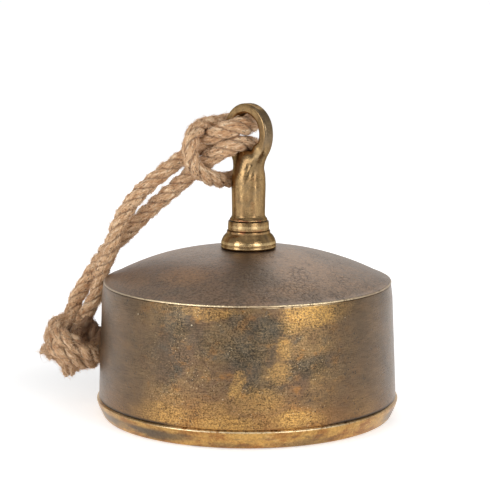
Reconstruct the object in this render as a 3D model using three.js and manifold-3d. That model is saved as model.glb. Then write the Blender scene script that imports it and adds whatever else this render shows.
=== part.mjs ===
// A round weight with a domed top, a stem with an eye, and a rope tied round the eye.
// Millimetres, +Z up. The origin is the centre of the underside, which rests on z = 0.
// The eye stands in the XZ plane, so its hole runs along Y.

import * as THREE from 'three';
import { mergeVertices } from 'three/addons/utils/BufferGeometryUtils.js';
import Module from 'manifold-3d';

const wasm = await Module();
wasm.setup();

// ---- driving dimensions ----

const GAP = 0.3;
const ROUND_STEPS = 48;
const SMALL_ROUND_STEPS = 28;

const PAD = { radius: 66, thickness: 1.5 };

const FOOT_RADIUS = 72.3;
const FOOT_RIM = { inner: 66.8, bottomZ: 0.5 };
const RIDGE_RADIUS = 75.4;
const RIDGE_Z = 8.5;
const PAN_TOP_Z = 9.6;
const PAN_SHEET = 2;
const RECESS = { radius: 18, roofZ: 16 };

const WALL_SHEET = 1.6;
const WALL_OUTLINE = [[74.4, PAN_TOP_Z + GAP], [74, 20], [73.25, 40], [72.35, 60], [71.4, 66.6]];
const WALL_TOP_Z = 66.6;
const WALL_TOP_RADIUS = 71.4;

const DOME = { radius: 70, edgeZ: 67.87, topZ: 83.45, power: 2.487, sheet: 2 };
const LIP = { inner: 66.2, outer: WALL_TOP_RADIUS - WALL_SHEET - GAP, depth: 5 };

const ROD = { radius: 4, hole: 4.4, bottomZ: 3.4, topZ: 113 };

const FLANGE_BOTTOM_Z = DOME.topZ + GAP;
const FLANGE_TOP_Z = 92.2;
const COLLAR_TOP_Z = 97;
const STEM_BOTTOM_Z = COLLAR_TOP_Z + GAP;
const STEM_RADIUS = 8.5;
const SOCKET_TOP_Z = 116;
const STEM_SHOULDER_Z = 124;

const EYE = { centreZ: 140.5, hole: 9.6, outer: 14.7, width: 6.2, edge: 1.3 };

const WASHER = { radius: 11, thickness: 1.7 };
const LOCK_WASHER = { inner: 4.5, outer: 7.2, thickness: 2, slit: 0.25 };
const NUT = { acrossCorners: 15, height: 6.5 };

const ROPE_RADIUS = 3.9;
const ROPE_SIDES = 10;
const ROPE_STEPS = 80;

const KNOT = { x: -71.3, y: -52.9, z: 33.5, radial: 14.5, sideways: 13.5, upright: 14 };
const TAIL = { baseRadius: 3.9, tipRadius: 3.1, length: 5 };

// The rope's centreline: out of the knot and up the first leg, through the eye, round its
// limb, down in front of both legs, round the stem's far side, through the eye again and
// back into the knot.
const ROPE_ROUTE = [
  [-68.5, -48.5, 42], [-67.6, -43.6, 54], [-66.7, -40.8, 61], [-64.8, -40.5, 67.5],
  [-60.3, -41.3, 74], [-55.3, -42, 80.5], [-51.8, -42.5, 87], [-48.5, -41.2, 96],
  [-43, -35.5, 108], [-36, -27, 118], [-27.6, -18.5, 127.5], [-19, -11.3, 135.8],
  [-10.3, -9.6, 141.7], [-3.7, -5, 144.6], [-2.2, 1.8, 144.9], [-5.5, 8.7, 145.4],
  [-13, 12.2, 146], [-19.5, 8, 146.2], [-20.8, 0.2, 145.2], [-21.4, -8.7, 144.8],
  [-19.2, -17.5, 142.5], [-17.1, -22.8, 138], [-16.1, -25, 133.4], [-15.1, -24.7, 128.4],
  [-14.4, -21.9, 123.7], [-13.2, -16.7, 120], [-13, -9.5, 117.3], [-13.7, -1, 116.2],
  [-14.5, 6.5, 117.2], [-12, 12.5, 121], [-7.2, 13.8, 126.5], [-3.2, 9.2, 132.7],
  [-2.2, 2, 136.2], [-3.8, -5, 136.1], [-9.3, -10.5, 132.8], [-16.8, -12.5, 126.9],
  [-26, -16, 118.2], [-36, -21.5, 108.3], [-46.5, -27.5, 97.5], [-56, -32.5, 87],
  [-64.8, -35.8, 79], [-72, -37, 70.5], [-76.3, -40.5, 61.5], [-77, -46.3, 54],
  [-75.5, -52.5, 43],
];

// ---- materials ----

const finish = (color, roughness, metalness) => (
  new THREE.MeshStandardMaterial({ color, roughness, metalness })
);

const agedBrass = () => finish(0x8f6c3c, 0.45, 0.9);
const darkBrass = () => finish(0x6a5844, 0.5, 0.85);
const brightBrass = () => finish(0xa98a4c, 0.35, 0.9);
const steel = () => finish(0x8c8f92, 0.4, 0.9);
const castFill = () => finish(0x9a968e, 0.9, 0);
const felt = () => finish(0x3b3a38, 0.95, 0);
const jute = () => finish(0xb08c62, 0.95, 0);

// ---- shape helpers ----

// Turns an outline about Z. The outline's [radius, height] points run anticlockwise, with
// the radius to the right. It closes on itself unless it starts and ends on the axis.
function turned(outline, steps = ROUND_STEPS) {
  const onAxis = outline[0][0] === 0 && outline.at(-1)[0] === 0;
  const loop = onAxis ? outline : [...outline, outline[0]];
  const points = loop.map(([radius, z]) => new THREE.Vector2(radius, z));
  return new THREE.LatheGeometry(points, steps).rotateX(Math.PI / 2);
}

// Points on an arc about a centre, from one angle to another, in degrees.
function arc([r, z], radius, from, to, steps) {
  return Array.from({ length: steps + 1 }, (_, i) => {
    const angle = THREE.MathUtils.degToRad(THREE.MathUtils.lerp(from, to, i / steps));
    return [r + radius * Math.cos(angle), z + radius * Math.sin(angle)];
  });
}

function ring(inner, outer, bottomZ, thickness, steps = SMALL_ROUND_STEPS) {
  const topZ = bottomZ + thickness;
  return turned([[inner, bottomZ], [outer, bottomZ], [outer, topZ], [inner, topZ]], steps);
}

// Height of the dome's outside at a radius.
function domeZ(radius) {
  const rise = DOME.topZ - DOME.edgeZ;
  return DOME.edgeZ + rise * (1 - (radius / DOME.radius) ** DOME.power);
}

// Points along the dome, lowered by a depth, from one radius to another.
function domeLine(from, to, depth, steps) {
  return Array.from({ length: steps + 1 }, (_, i) => {
    const radius = THREE.MathUtils.lerp(from, to, i / steps);
    return [radius, domeZ(radius) - depth];
  });
}

function toSolid(geometry) {
  const bare = geometry.clone();
  bare.deleteAttribute('normal');
  bare.deleteAttribute('uv');
  const merged = mergeVertices(bare, 1e-4);
  const corners = [];
  for (let i = 0; i < merged.index.count; i += 3) {
    const [a, b, c] = [0, 1, 2].map((k) => merged.index.getX(i + k));
    if (a !== b && b !== c && c !== a) corners.push(a, b, c);
  }
  return new wasm.Manifold(new wasm.Mesh({
    numProp: 3,
    vertProperties: new Float32Array(merged.attributes.position.array),
    triVerts: new Uint32Array(corners),
  }));
}

function fromSolid(solid) {
  const { vertProperties, triVerts } = solid.getMesh();
  const geometry = new THREE.BufferGeometry();
  geometry.setAttribute('position', new THREE.BufferAttribute(vertProperties, 3));
  geometry.setIndex(new THREE.BufferAttribute(triVerts, 1));
  return geometry;
}

// ---- the weight ----

function footPad() {
  const { radius, thickness } = PAD;
  return turned([[0, 0], [radius, 0], [radius, thickness], [0, thickness]]);
}

// A pressed pan: a raised round recess in the middle for the nut, a rim round the pad, a
// flaring foot outside and a rolled ridge at the top, which the wall stands on.
function basePan() {
  const bottomZ = PAD.thickness + GAP;
  const floorZ = bottomZ + PAN_SHEET;
  const humpRadius = RECESS.radius + PAN_SHEET;
  return turned([
    [ROD.hole, RECESS.roofZ],
    [RECESS.radius, RECESS.roofZ],
    [RECESS.radius, bottomZ],
    [FOOT_RIM.inner - 0.4, bottomZ],
    [FOOT_RIM.inner, FOOT_RIM.bottomZ],
    [FOOT_RADIUS - 0.6, FOOT_RIM.bottomZ],
    [FOOT_RADIUS, FOOT_RIM.bottomZ + 0.5],
    [FOOT_RADIUS + 1.7, 4.4],
    [RIDGE_RADIUS - 0.3, 7.7],
    ...arc([RIDGE_RADIUS - 0.7, RIDGE_Z], 0.7, 0, 80, 3),
    [RIDGE_RADIUS - 0.9, PAN_TOP_Z],
    [RIDGE_RADIUS - 2.6, PAN_TOP_Z],
    [RIDGE_RADIUS - 2.6, 7.5],
    [FOOT_RADIUS - 2.9, floorZ],
    [humpRadius, floorZ],
    [humpRadius, RECESS.roofZ + PAN_SHEET],
    [ROD.hole, RECESS.roofZ + PAN_SHEET],
  ]);
}

function wallBand() {
  const inside = WALL_OUTLINE.map(([radius, z]) => [radius - WALL_SHEET, z]).reverse();
  return turned([...WALL_OUTLINE, ...inside]);
}

// The cover's shoulder is rounded, and a lip under it sits inside the wall.
function domeCover() {
  const bottomZ = WALL_TOP_Z + GAP;
  return turned([
    ...domeLine(ROD.hole, LIP.inner, DOME.sheet, 6),
    [LIP.inner, bottomZ - LIP.depth],
    [LIP.outer, bottomZ - LIP.depth],
    [LIP.outer, bottomZ],
    [WALL_TOP_RADIUS - 0.1, bottomZ],
    [WALL_TOP_RADIUS - 0.3, bottomZ + 0.5],
    [WALL_TOP_RADIUS - 0.8, bottomZ + 0.9],
    ...domeLine(69.4, ROD.hole, 0, 11),
  ]);
}

// The fill takes the room inside: a pocket over the pan's hump, the wall's inside, and a
// narrower crown under the dome.
function ballast() {
  const bottomZ = PAD.thickness + PAN_SHEET + 2 * GAP;
  const pocketRadius = RECESS.radius + PAN_SHEET + GAP;
  const pocketZ = RECESS.roofZ + PAN_SHEET + GAP;
  const shoulderZ = WALL_TOP_Z - LIP.depth;
  const wide = 69.9;
  const narrow = LIP.inner - 0.5;
  return turned([
    [pocketRadius, bottomZ],
    [66, bottomZ],
    [wide, bottomZ + 5],
    [wide, shoulderZ],
    [narrow, shoulderZ],
    ...domeLine(narrow, ROD.hole, DOME.sheet + 2 * GAP, 5),
    [ROD.hole, pocketZ],
    [pocketRadius, pocketZ],
  ]);
}

// ---- the fastening that runs up the middle ----

function tieRod() {
  const { radius, bottomZ, topZ } = ROD;
  const tip = radius - 0.6;
  return turned([
    [0, bottomZ], [tip, bottomZ], [radius, bottomZ + 0.6],
    [radius, topZ - 0.6], [tip, topZ], [0, topZ],
  ], 24);
}

const washerZ = RECESS.roofZ - GAP - WASHER.thickness;
const lockWasherZ = washerZ - GAP - LOCK_WASHER.thickness;
const nutZ = lockWasherZ - GAP - NUT.height;

// A ring with a slit through one side.
function lockWasher() {
  const { inner, outer, thickness, slit } = LOCK_WASHER;
  const outline = new THREE.Shape();
  outline.absarc(0, 0, outer, slit, 2 * Math.PI - slit, false);
  outline.absarc(0, 0, inner, 2 * Math.PI - slit, slit, true);
  outline.closePath();
  const options = { depth: thickness, bevelEnabled: false, curveSegments: 24 };
  return new THREE.ExtrudeGeometry(outline, options).translate(0, 0, lockWasherZ);
}

function hexNut() {
  const corners = Array.from({ length: 6 }, (_, i) => {
    const angle = (i * Math.PI) / 3;
    const radius = NUT.acrossCorners / 2;
    return new THREE.Vector2(radius * Math.cos(angle), radius * Math.sin(angle));
  });
  const outline = new THREE.Shape(corners);
  outline.holes.push(new THREE.Path().absarc(0, 0, ROD.hole, 0, 2 * Math.PI, true));
  const options = { depth: NUT.height, bevelEnabled: false, curveSegments: 12 };
  return new THREE.ExtrudeGeometry(outline, options).translate(0, 0, nutZ);
}

// ---- the stem ----

// A straight rim with a sloping shoulder and a short neck above it.
function stemFlange() {
  return turned([
    [ROD.hole, FLANGE_BOTTOM_Z],
    [13.7, FLANGE_BOTTOM_Z],
    [13.7, 86.6],
    [13.4, 87.6],
    [12.6, 89.2],
    [11.2, 90.6],
    [10.6, 91.3],
    [10.5, FLANGE_TOP_Z],
    [ROD.hole, FLANGE_TOP_Z],
  ], SMALL_ROUND_STEPS);
}

function stemCollar() {
  const bottomZ = FLANGE_TOP_Z + GAP;
  return turned([
    [ROD.hole, bottomZ],
    [9.7, bottomZ],
    [10.2, bottomZ + 0.5],
    [10.2, COLLAR_TOP_Z - 0.5],
    [9.7, COLLAR_TOP_Z],
    [ROD.hole, COLLAR_TOP_Z],
  ], SMALL_ROUND_STEPS);
}

// The shank, with a blind socket for the rod and a round shoulder at the top.
function shank() {
  const shoulder = Array.from({ length: 6 }, (_, i) => {
    const angle = (i / 6) * (Math.PI / 2);
    const radius = STEM_RADIUS * Math.cos(angle);
    return [radius, STEM_SHOULDER_Z + 7 * Math.sin(angle)];
  });
  return turned([
    [0, SOCKET_TOP_Z],
    [ROD.hole, SOCKET_TOP_Z],
    [ROD.hole, STEM_BOTTOM_Z],
    [9.5, STEM_BOTTOM_Z],
    [9.4, STEM_BOTTOM_Z + 0.6],
    [8.8, STEM_BOTTOM_Z + 1.3],
    [STEM_RADIUS, STEM_BOTTOM_Z + 2.2],
    ...shoulder,
    [0, STEM_SHOULDER_Z + 7],
  ], SMALL_ROUND_STEPS);
}

// The eye: a ring about Y with rounded edges.
function eyeRing() {
  const { hole, outer, width, edge, centreZ } = EYE;
  const half = width / 2 - edge;
  const outline = [
    ...arc([outer - edge, half], edge, 0, 90, 2),
    ...arc([hole + edge, half], edge, 90, 180, 2),
    ...arc([hole + edge, -half], edge, 180, 270, 2),
    ...arc([outer - edge, -half], edge, 270, 360, 2),
  ];
  const loop = [...outline, outline[0]].map(([r, y]) => new THREE.Vector2(r, y));
  return new THREE.LatheGeometry(loop, 36).translate(0, 0, centreZ);
}

function eyeStem() {
  const hole = new THREE.CylinderGeometry(EYE.hole, EYE.hole, 40, 36);
  hole.translate(0, 0, EYE.centreZ);
  const clearShank = toSolid(shank()).subtract(toSolid(hole));
  return fromSolid(clearShank.add(toSolid(eyeRing())));
}

// ---- the rope ----

const knotSize = new THREE.Vector3(KNOT.radial, KNOT.sideways, KNOT.upright);

// A group whose x points away from the weight's axis, z up, at the knot's centre.
function knotFrame() {
  const frame = new THREE.Group();
  frame.position.set(KNOT.x, KNOT.y, KNOT.z);
  frame.rotation.z = Math.atan2(KNOT.y, KNOT.x);
  frame.updateMatrix();
  return frame;
}

// An ellipsoid in the knot's own frame, larger than the knot by a margin.
function knotBall(margin = 0) {
  const ball = new THREE.SphereGeometry(1, 22, 14).rotateX(Math.PI / 2);
  const size = knotSize.clone().addScalar(margin);
  return ball.scale(size.x, size.y, size.z);
}

// Both ends of the tube are cut where they reach the knot.
function rope() {
  const route = ROPE_ROUTE.map((point) => new THREE.Vector3(...point));
  const extrudePath = new THREE.CatmullRomCurve3(route, false, 'centripetal');
  const section = Array.from({ length: ROPE_SIDES }, (_, i) => {
    const angle = (i / ROPE_SIDES) * 2 * Math.PI;
    return new THREE.Vector2(ROPE_RADIUS * Math.cos(angle), ROPE_RADIUS * Math.sin(angle));
  });
  const options = { steps: ROPE_STEPS, extrudePath, bevelEnabled: false };
  const tube = new THREE.ExtrudeGeometry(new THREE.Shape(section), options);
  const knotRoom = knotBall(GAP).applyMatrix4(knotFrame().matrix);
  return fromSolid(toSolid(tube).subtract(toSolid(knotRoom)));
}

// A short tapered stub that stands square on the knot, where the given direction leaves it.
function ropeTail(name, direction) {
  const unit = new THREE.Vector3(...direction).normalize();
  const foot = unit.clone().multiply(knotSize);
  const outward = unit.clone().divide(knotSize).normalize();
  const { baseRadius, tipRadius, length } = TAIL;
  const stub = new THREE.CylinderGeometry(tipRadius, baseRadius, length, 12);
  const mesh = new THREE.Mesh(stub.translate(0, length / 2 + GAP, 0), jute());
  mesh.name = name;
  mesh.position.copy(foot);
  mesh.quaternion.setFromUnitVectors(new THREE.Vector3(0, 1, 0), outward);
  return mesh;
}

// ---- assembly ----

const object = new THREE.Group();

function add(name, geometry, material, parent = object) {
  const mesh = new THREE.Mesh(geometry, material);
  mesh.name = name;
  parent.add(mesh);
}

add('foot_pad', footPad(), felt());
add('base_pan', basePan(), agedBrass());
add('wall_band', wallBand(), agedBrass());
add('dome_cover', domeCover(), darkBrass());
add('ballast', ballast(), castFill());

add('tie_rod', tieRod(), steel());
add('base_washer', ring(ROD.hole, WASHER.radius, washerZ, WASHER.thickness), steel());
add('lock_washer', lockWasher(), steel());
add('base_nut', hexNut(), steel());

add('stem_flange', stemFlange(), brightBrass());
add('stem_collar', stemCollar(), brightBrass());
add('eye_stem', eyeStem(), brightBrass());

add('rope', rope(), jute());
const knot = knotFrame();
add('end_knot', knotBall(), jute(), knot);
knot.add(ropeTail('rope_tail_a', [0.8, -0.15, -0.55]));
knot.add(ropeTail('rope_tail_b', [-0.1, -0.2, -1]));
object.add(knot);

export default object;
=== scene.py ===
"""Door stop weight: a round brass body with a domed top, a stem with an eye, and a knotted jute rope."""

import math

import bpy
import numpy as np
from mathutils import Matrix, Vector


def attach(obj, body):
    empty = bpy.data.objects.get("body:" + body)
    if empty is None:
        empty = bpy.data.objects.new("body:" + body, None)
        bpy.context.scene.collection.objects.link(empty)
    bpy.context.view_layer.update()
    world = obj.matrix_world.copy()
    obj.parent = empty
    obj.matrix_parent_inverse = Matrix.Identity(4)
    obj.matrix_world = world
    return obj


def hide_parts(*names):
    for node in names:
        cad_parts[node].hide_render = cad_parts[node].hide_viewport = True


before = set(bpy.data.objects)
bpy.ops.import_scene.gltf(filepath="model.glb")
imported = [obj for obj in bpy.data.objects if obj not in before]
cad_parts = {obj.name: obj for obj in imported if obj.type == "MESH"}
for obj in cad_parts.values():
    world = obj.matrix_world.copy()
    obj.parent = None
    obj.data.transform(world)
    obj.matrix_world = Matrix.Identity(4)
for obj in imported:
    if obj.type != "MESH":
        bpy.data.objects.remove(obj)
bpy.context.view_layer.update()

MM = 0.001
TAU = 2 * math.pi
HALF = math.sqrt(0.5)
RIGHT = np.array([HALF, HALF, 0.0])  # the photo's right in the part's frame
AWAY = np.array([-HALF, HALF, 0.0])  # away from the camera
UP = np.array([0.0, 0.0, 1.0])


def seen(right, away, up):
    """A point in the part's frame from one in the photo's frame."""
    return right * RIGHT + away * AWAY + up * UP


# ---------------- camera

CAMERA_PLACE = seen(-0.001144, -0.85, 0.21883)
CAMERA_DIP = 0.1565  # how far it looks down, in radians
LENS = 127.21  # mm, on Blender's own sensor

camera = bpy.data.objects.new("camera", bpy.data.cameras.new("camera"))
bpy.context.scene.collection.objects.link(camera)
camera.location = CAMERA_PLACE
camera.rotation_euler = (math.pi / 2 - CAMERA_DIP, 0, math.pi / 4)
camera.data.lens = LENS
camera.data.clip_start = 0.01
camera.data.dof.use_dof = False
bpy.context.scene.camera = camera
bpy.context.scene.view_settings.view_transform = "Standard"

# ---------------- meshes


def lattice_noise(points, size, seed):
    """Smooth noise from -1 to 1, with features of about the given size."""
    side = 32
    grid = np.random.default_rng(seed).uniform(-1, 1, (side, side, side))
    q = np.asarray(points) / size + 9.37
    i = np.floor(q).astype(int)
    f = q - i
    f = f * f * (3 - 2 * f)
    total = 0
    for corner in range(8):
        d = np.array([corner & 1, corner >> 1 & 1, corner >> 2])
        w = np.prod(np.where(d == 1, f, 1 - f), axis=-1)
        k = (i + d) % side
        total = total + w * grid[k[..., 0], k[..., 1], k[..., 2]]
    return total


def unit(vectors):
    """The vectors at length 1."""
    return vectors / (np.linalg.norm(vectors, axis=-1)[..., None] + 1e-9)


def make_piece(name, points, faces, material, crease=45, **attributes):
    """A smooth-shaded mesh object from arrays of points and of faces, all in metres."""
    me = bpy.data.meshes.new(name)
    corners = np.concatenate([np.asarray(f, np.int32).ravel() for f in faces])
    sizes = np.concatenate([np.full(len(f), f.shape[1], np.int32) for f in faces])
    me.vertices.add(len(points))
    me.vertices.foreach_set("co", np.asarray(points, np.float32).ravel())
    me.loops.add(len(corners))
    me.loops.foreach_set("vertex_index", corners)
    me.polygons.add(len(sizes))
    me.polygons.foreach_set("loop_start", np.r_[0, np.cumsum(sizes)[:-1]].astype(np.int32))
    me.update(calc_edges=True)
    me.shade_smooth()
    me.set_sharp_from_angle(angle=math.radians(crease))
    for key, values in attributes.items():
        kind, field = ("FLOAT_VECTOR", "vector") if values.ndim == 2 else ("FLOAT", "value")
        layer = me.attributes.new(key, kind, "POINT")
        layer.data.foreach_set(field, values.astype(np.float32).ravel())
    me.validate()
    me.materials.append(material)
    o = bpy.data.objects.new(name, me)
    bpy.context.scene.collection.objects.link(o)
    return o


def spaced(outline, step):
    """The closed outline with points added so that none are further apart than step."""
    pts = [np.asarray(p, float) for p in outline]
    out = []
    for a, b in zip(pts, pts[1:] + pts[:1]):
        n = max(1, int(math.ceil(np.linalg.norm(b - a) / step)))
        out.extend(a + (b - a) * k / n for k in range(n))
    return np.array(out)


def lathe(outline, segments, bend):
    """Points in metres and faces of a closed outline in mm, turned round the Z axis and bent."""
    outline = np.asarray(outline, float)
    turn = np.arange(segments) / segments * TAU
    r, z = outline[:, 0][:, None], outline[:, 1][:, None]
    pts = np.stack([r * np.cos(turn), r * np.sin(turn), z + 0 * turn], -1)
    pts = pts + bend(pts)
    n = len(outline)
    i = np.arange(n)[:, None] * segments
    j = (np.arange(n)[:, None] + 1) % n * segments
    a = np.arange(segments)[None]
    b = (a + 1) % segments
    quads = np.stack([i + a, i + b, j + b, j + a], -1).reshape(-1, 4)
    return pts.reshape(-1, 3) * MM, quads


def arc(cx, cz, radius, start, end, steps):
    """Points of an arc round (cx, cz), from one angle to another in degrees."""
    turn = np.radians(np.linspace(start, end, steps + 1))
    return [(cx + radius * math.cos(t), cz + radius * math.sin(t)) for t in turn]


# ---------------- materials


class Nodes:
    """Helpers that add nodes to a tree. A value is a number, a tuple or a node's output."""

    def __init__(self, tree, coordinates):
        self.tree = tree
        tree.nodes.clear()
        self.place = self.node("ShaderNodeTexCoord").outputs[coordinates]

    def node(self, kind, **settings):
        n = self.tree.nodes.new(kind)
        for key, value in settings.items():
            setattr(n, key, value)
        return n

    def put(self, socket, value):
        if isinstance(value, bpy.types.NodeSocket):
            self.tree.links.new(value, socket)
        else:
            socket.default_value = value

    def wire(self, kind, values, **settings):
        n = self.node(kind, **settings)
        for socket, value in zip(n.inputs, values):
            self.put(socket, value)
        return n

    def math(self, operation, *values):
        return self.wire("ShaderNodeMath", values, operation=operation).outputs[0]

    def times(self, first, *others):
        """The product of all the values."""
        for value in others:
            first = self.math("MULTIPLY", first, value)
        return first

    def off(self, value, middle):
        """How far the value is from the middle, either way."""
        return self.math("ABSOLUTE", self.math("SUBTRACT", value, middle))

    def wander(self, value, noise, reach):
        """The value moved to and fro by a noise from 0 to 1, by up to half the reach each way."""
        return self.math("MULTIPLY_ADD", self.math("SUBTRACT", noise, 0.5), reach, value)

    def measure(self, operation, *values):
        """A vector operation that gives a number."""
        return self.wire("ShaderNodeVectorMath", values, operation=operation).outputs["Value"]

    def ease(self, value, low, high, start=0.0, end=1.0):
        """A smooth step from start, where the value is low, to end, where it is high."""
        values = (value, low, high, start, end)
        return self.wire("ShaderNodeMapRange", values, interpolation_type="SMOOTHSTEP").outputs[0]


class Material(Nodes):
    """A procedural material round one Principled shader, in the piece's own coordinates in metres."""

    def __init__(self, name, **sockets):
        self.mat = bpy.data.materials.new(name)
        self.mat.use_nodes = True
        super().__init__(self.mat.node_tree, "Object")
        self.bsdf = self.node("ShaderNodeBsdfPrincipled")
        self.wire("ShaderNodeOutputMaterial", (self.bsdf.outputs["BSDF"],))
        self.done(**sockets)

    def fill(self, n, **sockets):
        """Set a node's sockets by name, with _ for a space."""
        for key, value in sockets.items():
            self.put(n.inputs[key.replace("_", " ")], value)
        return n

    def done(self, **sockets):
        self.fill(self.bsdf, **sockets)
        return self.mat

    def stretched(self, x, y, z, source=None):
        values = (source or self.place, (x, y, z))
        return self.wire("ShaderNodeVectorMath", values, operation="MULTIPLY").outputs[0]

    def split(self):
        """The place's three coordinates."""
        return tuple(self.wire("ShaderNodeSeparateXYZ", (self.place,)).outputs)

    def attribute(self, name):
        return self.node("ShaderNodeAttribute", attribute_name=name)

    def noise(self, size, detail=3.0, rough=0.55, twist=0.0, source=None):
        n = self.fill(self.node("ShaderNodeTexNoise"), Vector=source or self.place, Scale=1 / size)
        return self.fill(n, Detail=detail, Roughness=rough, Distortion=twist).outputs["Fac"]

    def cells(self, size, feature="F1"):
        n = self.node("ShaderNodeTexVoronoi", feature=feature)
        return self.fill(n, Vector=self.place, Scale=1 / size).outputs["Distance"]

    def dots(self, size, core, rim, zone_size, low, high):
        """Dots in some zones: 1 within core of a cell's middle and 0 beyond rim, in cell sizes."""
        zone = self.ease(self.noise(zone_size, 3, 0.6), low, high)
        return self.times(self.ease(self.cells(size), core, rim, 1.0, 0.0), zone)

    def mix(self, amount, a, b, blend="MIX"):
        """The colour a with the given amount of b in it."""
        n = self.node("ShaderNodeMix", data_type="RGBA", blend_type=blend)
        for k, v in ((0, amount), (6, a), (7, b)):
            if isinstance(v, tuple):
                v = (*v, 1.0)
            self.put(n.inputs[k], v)
        return n.outputs[2]

    def bump(self, height, distance, strength, under=None):
        n = self.fill(self.node("ShaderNodeBump"), Height=height, Distance=distance, Strength=strength)
        if under is not None:
            self.fill(n, Normal=under)
        return n.outputs["Normal"]


MURK = (0.062, 0.056, 0.045)
SLATE = (0.100, 0.092, 0.076)
UMBER = (0.165, 0.106, 0.068)
OLIVE = (0.245, 0.161, 0.084)
ORANGE = (0.375, 0.180, 0.060)
GOLD = (0.560, 0.330, 0.105)
# BRIGHT is the colour of the painted highlights on the body's edges
BRIGHT = (0.950, 0.760, 0.480)

# (degrees from the camera, height, half width, half height, strength) on the wall, in mm
GOLD_PATCHES = (
    (25, 63, 13, 5, 1.0), (17, 57, 5, 3, 0.4), (14, 47, 4, 4, 0.6), (12, 37, 5, 4, 0.55),
    (-4, 30, 3, 7, 0.6), (5, 23, 9, 5, 0.5), (18, 14, 11, 4, 0.85), (-34, 14, 15, 5, 0.6),
    (-13, 64, 11, 2.5, 0.55), (-25, 25, 10, 6, 0.15), (-14, 18, 8, 4, 0.35), (37, 64, 10, 4, 0.6),
    (30, 28, 10, 8, 0.2), (28, 51, 9, 5, 0.2), (-8, 12, 14, 4, 0.75), (48, 15, 9, 4, 0.4),
)
DARK_PATCHES = (
    (6, 56, 11, 6, 0.95), (-1, 46, 11, 9, 0.9), (-15, 51, 10, 6, 0.6), (2, 33, 4, 7, 0.8),
    (46, 57, 12, 8, 0.42), (32, 23, 15, 4, 0.45), (-33, 43, 13, 11, 0.55), (34, 37, 9, 7, 0.5),
    (9, 30, 4, 4, 0.5), (-28, 56, 10, 9, 0.8), (24, 38, 10, 5, 0.8), (27, 52, 6, 4, 0.2),
    (-4, 60, 6, 4, 0.7), (12, 53, 5, 4, 0.5),
)
STAINS = (
    (-38, 5.0, 20, 2.8, 1.0), (-64, 5.5, 12, 3.0, 0.9), (22, 1.9, 14, 1.6, 0.6), (-8, 2.0, 10, 1.5, 0.5),
    (74, 5.5, 12, 4.0, 0.8),
)
# the same on the dome, with the distance from the axis for the height
BARE_SPOTS = ((-36, 50, 18, 8, 0.65), (-58, 62, 10, 5, 0.3), (20, 60, 12, 5, 0.25))
# a painted shadow of the stem, darker brown on the dome's front
STEM_SHADOW_SPOTS = ((2, 42, 16, 16, 0.75),)
WALL_RADIUS = 73.0  # mm, for ways round the body
SPOT_REACH = 1.25  # a spot fades over its half width and half height times this
SPOT_END = 1.5  # the square of the distance, in reaches, where nothing is left of it


def patches(m, u, v, spots):
    """A mask that has each spot's strength in its middle, in the plane of u and v in mm."""
    total = None
    for degrees, height, wide, high, strength in spots:
        middle = math.radians(degrees) * WALL_RADIUS
        du = m.math("DIVIDE", m.math("SUBTRACT", u, middle), wide * SPOT_REACH)
        dv = m.math("DIVIDE", m.math("SUBTRACT", v, height), high * SPOT_REACH)
        far = m.math("ADD", m.times(du, du), m.times(dv, dv))
        spot = m.ease(far, SPOT_END, 0.0, 0.0, strength)
        total = spot if total is None else m.math("MAXIMUM", total, spot)
    return total


def turned_place(m):
    """The angle from the camera's side in radians, and the height in mm."""
    x, y, z = m.split()
    around = m.math("ADD", m.math("ARCTAN2", y, x), math.pi / 4)
    return around, m.times(z, 1 / MM)


def wall_ground(m, v):
    """The wall's mottled browns, with more orange low down."""
    colour = m.mix(m.ease(m.noise(0.020, 6, 0.65), 0.40, 0.60), UMBER, OLIVE)
    colour = m.mix(m.ease(m.noise(0.012, 6, 0.7, 0.3), 0.54, 0.66, 0.0, 0.75), colour, SLATE)
    rusty = m.noise(0.009, 6, 0.7, 0.3, m.stretched(1, 1, 1.5))
    colour = m.mix(m.ease(rusty, 0.52, 0.66, 0.0, 0.6), colour, ORANGE)
    return m.mix(m.ease(v, 32.0, 8.0, 0.0, 0.55), colour, ORANGE)


def wall_edges(m, colour, around, height):
    """The colour with a painted highlight along the upper edge and painted shade in the seam above the foot's
    ridge.
    """
    # painted highlight: a bright line along the upper edge, strongest a little right of the front and fading
    # towards the sides
    lit = m.ease(m.off(around, 0.33), 0.36, 0.16, 0.0, 0.75)
    edge = m.times(m.ease(height, 66.1, 66.5), m.ease(m.noise(0.004, 4, 0.7), 0.36, 0.50))
    colour = m.mix(m.times(edge, lit), colour, BRIGHT)
    # painted shade: a dark line in the seam above the foot's ridge, on the sides but not at the front
    seam = m.times(m.ease(height, 11.2, 9.9), m.ease(m.off(around, 0.05), 0.42, 0.62, 0.0, 0.85))
    return m.mix(seam, colour, (0.045, 0.045, 0.045))


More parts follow.
